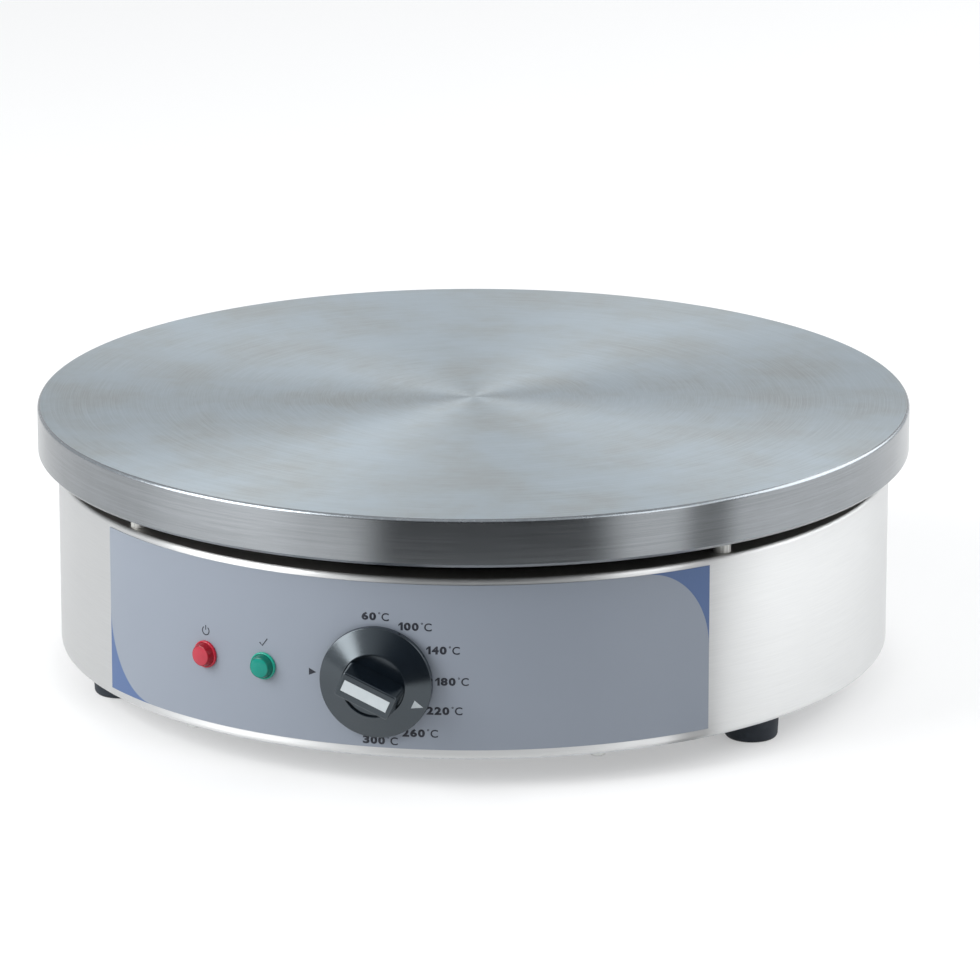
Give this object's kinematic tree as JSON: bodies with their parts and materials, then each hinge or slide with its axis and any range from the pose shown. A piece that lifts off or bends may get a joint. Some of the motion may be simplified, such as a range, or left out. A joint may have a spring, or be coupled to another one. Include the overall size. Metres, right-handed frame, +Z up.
{
  "type": "electric crepe maker",
  "caption": "Round countertop electric crepe maker: a flat cast-iron plate on a stainless drum with a front thermostat knob, two lamps and rubber feet.",
  "frame": {"origin": "centre of the standing plane, under the plate's axis, with the soles of the feet at z = 0", "axes": "+Z up; the knob, lamps and label face -Y; +X is to the right of someone facing the knob"},
  "size_m": [0.3999, 0.4278, 0.126],
  "materials": {
    "cast_iron": "machined, seasoned",
    "element_sheath": "heat-darkened alloy sheath",
    "plated_steel": "zinc plated",
    "bright_steel": "turned bright",
    "stainless": "brushed stainless",
    "base_steel": "galvanised sheet",
    "dark_pan": "black heat-resistant enamel",
    "mineral_wool": "ceramic fibre blanket",
    "label_film": "grey printed film",
    "foot_rubber": "matt rubber",
    "knob_plastic": "satin black thermoset",
    "white_plastic": "white moulding",
    "spring_steel": "spring steel",
    "brass_metal": "brass",
    "copper_plated": "copper capillary",
    "ceramic": "glazed ceramic",
    "red_lens": "clear red lens",
    "green_lens": "clear green lens",
    "black_plastic": "black nylon",
    "silicone_brown": "silicone insulation",
    "silicone_blue": "silicone insulation"
  },
  "bodies": {
    "machine": {"base_plate": "base_steel", "base_screws": "plated_steel", "block_screws": "plated_steel", "bulb_spring": "spring_steel", "capillary_tube": "copper_plated", "clamp_disc": "plated_steel", "clamp_nuts": "plated_steel", "clamp_studs": "plated_steel", "clinch_nuts": "plated_steel", "cooking_plate": "cast_iron", "cutout_screws": "plated_steel", "earth_nuts": "brass_metal", "earth_stud": "brass_metal", "element_pins": "plated_steel", "feet": "foot_rubber", "foot_nuts": "plated_steel", "foot_screws": "plated_steel", "front_label": "label_film", "gland_body": "black_plastic", "gland_dome_nut": "black_plastic", "gland_locknut": "black_plastic", "gland_seal": "foot_rubber", "green_lamp_lens": "green_lens", "heating_element": "element_sheath", "housing_shell": "stainless", "inner_pan": "dark_pan", "insulation_blanket": "mineral_wool", "lamp_bodies": "black_plastic", "lamp_leads": "silicone_brown", "lamp_rings": "spring_steel", "line_lead": "silicone_brown", "neutral_lead": "silicone_blue", "pan_rivets": "dark_pan", "plate_nuts": "plated_steel", "plate_studs": "plated_steel", "red_lamp_lens": "red_lens", "safety_cutout": "black_plastic", "sensing_bulb": "copper_plated", "spacer_posts": "bright_steel", "switched_lead": "silicone_brown", "terminal_block": "ceramic", "terminal_screws": "brass_metal", "thermostat_blades": "brass_metal", "thermostat_body": "ceramic", "thermostat_bushing": "brass_metal", "thermostat_plate": "plated_steel", "thermostat_screws": "plated_steel"},
    "control_knob": {"knob": "knob_plastic", "knob_inlay": "white_plastic", "knob_pointer": "white_plastic", "knob_clip": "spring_steel", "thermostat_spindle": "plated_steel"}
  },
  "joints": [
    {"name": "knob_turn", "type": "hinge", "parent": "machine", "child": "control_knob", "pos_m": [0, -0.2, 0.049], "axis": [0, 1, 0], "range_deg": [-204, 66]}
  ]
}
